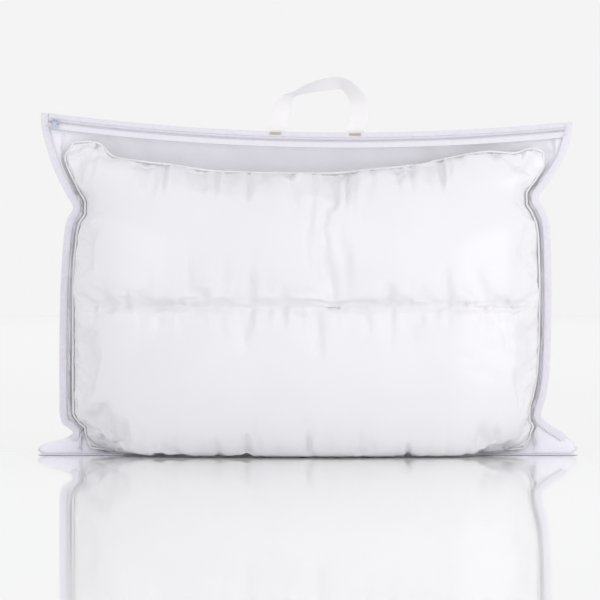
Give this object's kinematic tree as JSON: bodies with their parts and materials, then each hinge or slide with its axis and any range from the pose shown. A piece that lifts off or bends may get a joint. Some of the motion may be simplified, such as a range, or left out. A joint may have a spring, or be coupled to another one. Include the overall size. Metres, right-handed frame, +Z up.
{
  "type": "bed pillow in zipped carry bag",
  "caption": "Fibre-filled bed pillow with piped edge and stitched centre seam, zipped into a clear-fronted carry bag with bound seams and a webbing handle.",
  "frame": {"origin": "on the floor under the middle of the bag, which stands on its bottom seam", "axes": "+X to the right as the clear front is viewed, +Y from the front window to the back panel, +Z up to the handle"},
  "size_m": [0.742, 0.204, 0.5238],
  "materials": {
    "fibre": "loose siliconised polyester fibre",
    "ticking": "close plain-weave white cotton",
    "thread": "white polyester sewing thread",
    "film": "clear soft vinyl film, glossy",
    "nonwoven": "white point-bonded non-woven polypropylene",
    "binding": "folded white non-woven binding tape",
    "zip_tape": "woven white polyester tape",
    "coil": "moulded nylon coil",
    "slider": "grey enamel over die-cast metal",
    "webbing": "white woven webbing",
    "beige_thread": "beige bar-tack thread"
  },
  "bodies": {
    "bag": {"fibre_fill": "fibre", "ticking_front": "ticking", "ticking_back": "ticking", "edge_piping": "ticking", "centre_seam_thread": "thread", "front_window": "film", "back_panel": "nonwoven", "binding_left": "binding", "binding_right": "binding", "binding_bottom": "binding", "binding_top": "binding", "zip_tape_upper": "zip_tape", "zip_tape_lower": "zip_tape", "zip_coil_upper": "coil", "zip_coil_lower": "coil", "handle_foot_left": "webbing", "handle_foot_right": "webbing", "handle_stitch_left": "beige_thread", "handle_stitch_right": "beige_thread", "thread_left": "thread", "thread_right": "thread", "thread_top": "thread", "thread_window": "thread"},
    "slider": {"zip_slider": "slider"},
    "pull": {"zip_pull_tab": "slider"},
    "handle": {"handle_strap": "webbing"}
  },
  "joints": [
    {"name": "zip_travel", "type": "hinge", "parent": "bag", "child": "slider", "pos_m": [0.055, 0.00405, 3.592], "axis": [0, -1, 0], "range_deg": [0, 12.6]},
    {"name": "pull_flip", "type": "hinge", "parent": "slider", "child": "pull", "pos_m": [-0.34748, -0.00119, 0.46079], "axis": [-0.9918, 0, 0.1275], "range_deg": [0, 165]},
    {"name": "handle_swing", "type": "hinge", "parent": "bag", "child": "handle", "pos_m": [0.01, 0.01473, 0.44688], "axis": [1, 0, 0], "range_deg": [-95, 60]}
  ]
}
